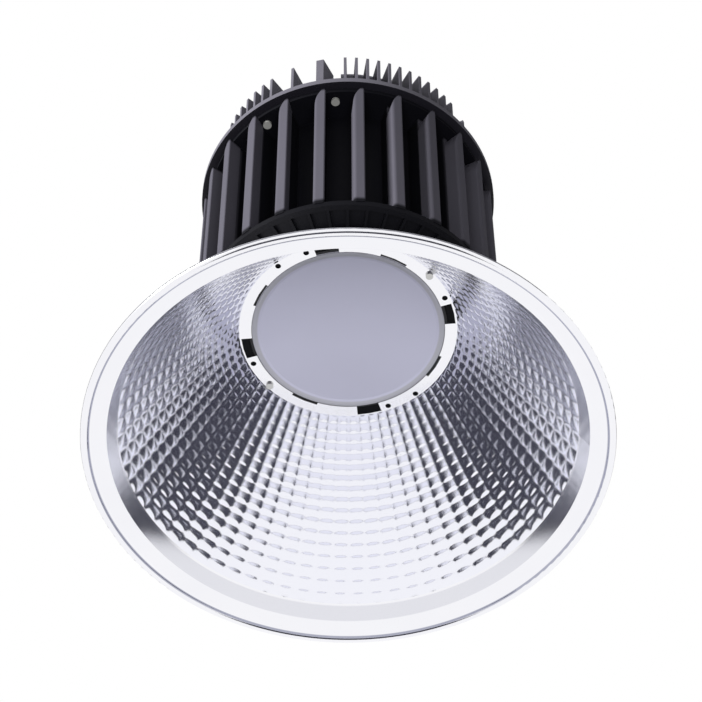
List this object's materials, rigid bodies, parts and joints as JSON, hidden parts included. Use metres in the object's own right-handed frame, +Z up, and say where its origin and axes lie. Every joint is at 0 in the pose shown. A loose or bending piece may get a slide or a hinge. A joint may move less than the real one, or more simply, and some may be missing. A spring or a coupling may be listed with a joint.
{
  "type": "high bay light",
  "caption": "High bay light hung by an eye bolt: finned heat sink and cast crown over a wide faceted spun reflector with a frosted lens at its neck.",
  "frame": {"origin": "centre of the reflector's mouth, on the plane its rolled rim rests on", "axes": "+Z up as the light hangs, towards the eye bolt; the eye's hole runs along Y; the cable gland is on the +Y side"},
  "size_m": [0.42, 0.42, 0.4918],
  "materials": {
    "spun_aluminium": "spun, brightened and faceted",
    "zinc_steel": "zinc plated",
    "frosted_lens": "frosted polycarbonate",
    "seal_rubber": "soft silicone",
    "black_frame": "satin black",
    "black_casting": "powder coated, satin black",
    "grey_casting": "powder coated, dark grey",
    "white_board": "white solder mask over an aluminium core",
    "pad_grey": "filled silicone sheet",
    "emitter_amber": "phosphor under silicone",
    "green_board": "solder mask",
    "laminated_steel": "varnished laminations",
    "copper_winding": "enamelled copper",
    "capacitor_sleeve": "shrunk sleeve",
    "terminal_green": "moulded",
    "lead_red": "insulated wire",
    "gland_black": "moulded nylon"
  },
  "bodies": {
    "root": {"reflector": "spun_aluminium", "reflector_screws": "zinc_steel", "lens": "frosted_lens", "lens_gasket": "seal_rubber", "lens_frame": "black_frame", "frame_screws": "zinc_steel", "led_board": "white_board", "led_emitters": "emitter_amber", "board_screws": "zinc_steel", "thermal_pad": "pad_grey", "heat_sink": "black_casting", "crown": "grey_casting", "crown_screws": "zinc_steel", "driver_can": "grey_casting", "can_gasket": "seal_rubber", "can_screws": "zinc_steel", "driver_cap": "grey_casting", "cap_gasket": "seal_rubber", "cap_screws": "zinc_steel", "driver_board": "green_board", "board_posts": "zinc_steel", "driver_board_screws": "zinc_steel", "transformer_core": "laminated_steel", "transformer_winding": "copper_winding", "capacitors": "capacitor_sleeve", "terminal_block": "terminal_green", "led_leads": "lead_red", "eye_bolt": "zinc_steel", "eye_washer": "zinc_steel", "eye_nut": "zinc_steel", "gland_body": "gland_black", "gland_seal": "seal_rubber", "gland_nut": "gland_black"}
  },
  "joints": []
}
